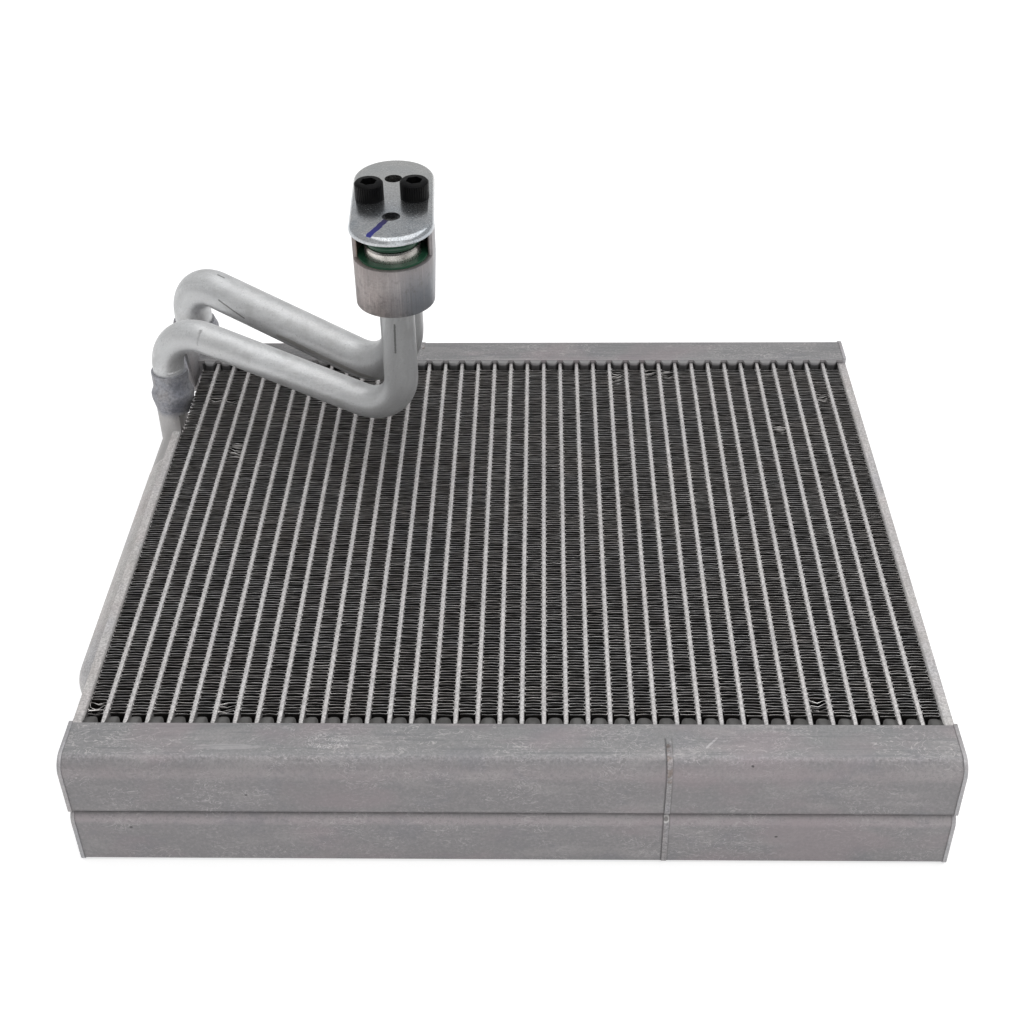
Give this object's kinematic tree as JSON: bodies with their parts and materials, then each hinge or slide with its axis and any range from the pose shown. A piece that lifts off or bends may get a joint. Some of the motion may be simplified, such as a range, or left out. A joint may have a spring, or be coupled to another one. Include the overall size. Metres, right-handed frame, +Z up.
{
  "type": "evaporator core",
  "caption": "Brazed aluminium evaporator core with a tank on each side, flat tubes, folded fins, bent pipes and a capped port block.",
  "frame": {"origin": "centre of the footprint of the core between its two tanks, in the plane it rests on", "axes": "+X along the tanks, +Y from the front tank to the rear tank, +Z up along the air flow, towards the port block"},
  "size_m": [0.273, 0.2524, 0.1393],
  "materials": {
    "tank_aluminium": "satin, faintly streaked along the tank",
    "header_aluminium": "dull, flux residue",
    "cap_aluminium": "satin with a lighter sheared edge",
    "tube_aluminium": "matte, finely grained",
    "fin_aluminium": "thin dull sheet, dark in its depth",
    "side_plate_aluminium": "satin",
    "passage_aluminium": "satin",
    "fluxed_aluminium": "bluish grey, stained by brazing flux at the cups",
    "pipe_aluminium": "bright satin with long draw lines",
    "block_aluminium": "sawn and brushed upright, faintly pink",
    "spigot_aluminium": "turned, bright",
    "green_rubber": "smooth, oiled",
    "galvanised_steel": "zinc plated, spangled",
    "black_steel": "black oxide"
  },
  "bodies": {
    "root": {"front_tank": "tank_aluminium", "front_header": "header_aluminium", "front_left_cap": "cap_aluminium", "front_right_cap": "cap_aluminium", "front_baffle": "cap_aluminium", "rear_tank": "tank_aluminium", "rear_header": "header_aluminium", "rear_left_cap": "cap_aluminium", "rear_right_cap": "cap_aluminium", "rear_baffle": "cap_aluminium", "upper_tubes": "tube_aluminium", "lower_tubes": "tube_aluminium", "left_fins": "fin_aluminium", "middle_fins": "fin_aluminium", "right_fins": "fin_aluminium", "left_side_plate": "side_plate_aluminium", "right_side_plate": "side_plate_aluminium", "side_passage": "passage_aluminium", "liquid_stub": "fluxed_aluminium", "suction_stub": "fluxed_aluminium", "liquid_pipe": "pipe_aluminium", "suction_pipe": "pipe_aluminium", "port_block": "block_aluminium", "liquid_spigot": "spigot_aluminium", "suction_spigot": "spigot_aluminium", "liquid_o_ring": "green_rubber", "suction_o_ring": "green_rubber", "liquid_face_seal": "green_rubber", "suction_face_seal": "green_rubber", "cover_plate": "galvanised_steel", "cover_screws": "black_steel"}
  },
  "joints": []
}
